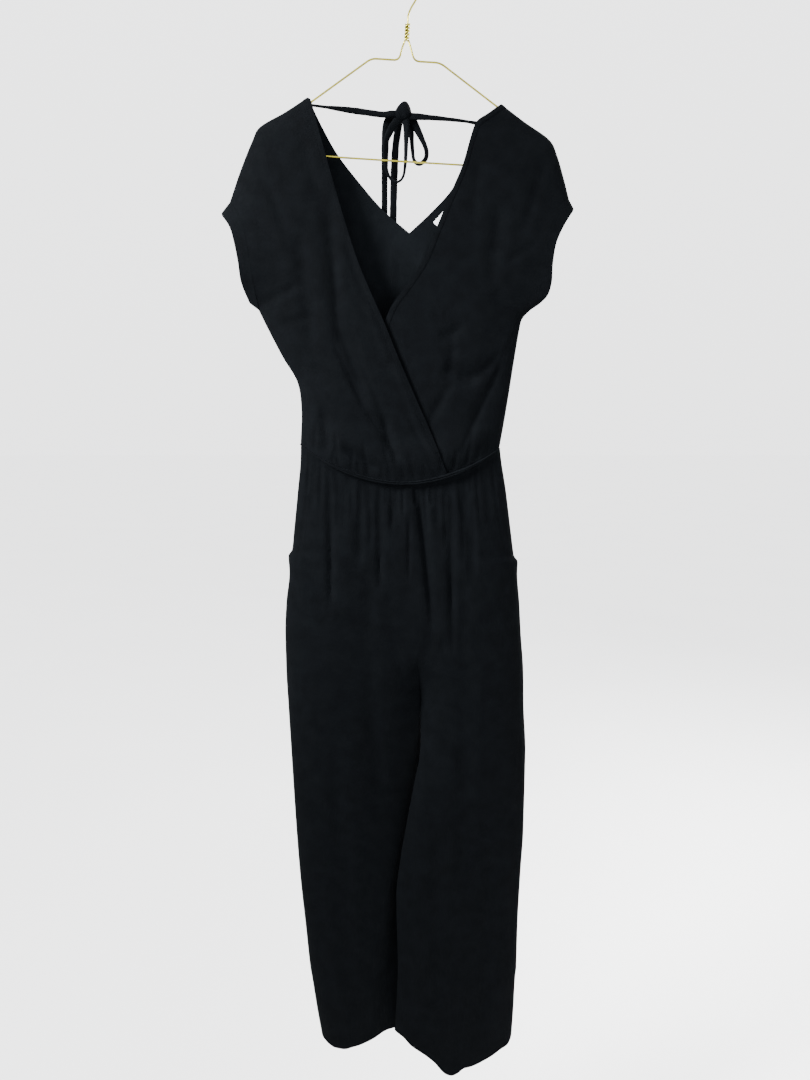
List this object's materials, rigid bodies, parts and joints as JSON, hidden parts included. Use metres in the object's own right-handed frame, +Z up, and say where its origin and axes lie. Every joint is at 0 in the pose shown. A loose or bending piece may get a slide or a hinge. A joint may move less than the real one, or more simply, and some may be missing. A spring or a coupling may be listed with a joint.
{
  "type": "jumpsuit on wire hanger",
  "caption": "Wrap-front jumpsuit with short cut-on sleeves, a deep V back closed by a bow tie, gathered side-pocket trousers, hung flat on a bent wire hanger.",
  "frame": {"origin": "inside top of the hanger's hook, where it rests on a rail", "axes": "+Z up along the hanging garment; +Y from the garment's front to its back; +X towards the wearer's left"},
  "size_m": [0.474, 0.0597, 1.5814],
  "materials": {
    "crepe": "matte black crepe with a fine pebbled weave",
    "gold_wire": "bright gold-coloured wire",
    "label": "smooth woven satin, blank"
  },
  "bodies": {
    "root": {"bodice_front_right": "crepe", "bodice_front_left": "crepe", "bodice_back": "crepe", "neck_binding_right": "crepe", "neck_binding_left": "crepe", "neck_binding_back": "crepe", "cuff_right": "crepe", "cuff_left": "crepe", "waist_band": "crepe", "trouser_front_right": "crepe", "trouser_front_left": "crepe", "trouser_back_right": "crepe", "trouser_back_left": "crepe", "pocket_bag_right": "crepe", "pocket_bag_left": "crepe", "tie_strap_right": "crepe", "tie_strap_left": "crepe", "bow_knot": "crepe", "bow_loop_right": "crepe", "bow_loop_left": "crepe", "tie_tail_right": "crepe", "tie_tail_left": "crepe", "label": "label", "hanger_hook": "gold_wire", "hanger_arm_right": "gold_wire", "hanger_arm_left": "gold_wire", "hanger_bar": "gold_wire"}
  },
  "joints": []
}
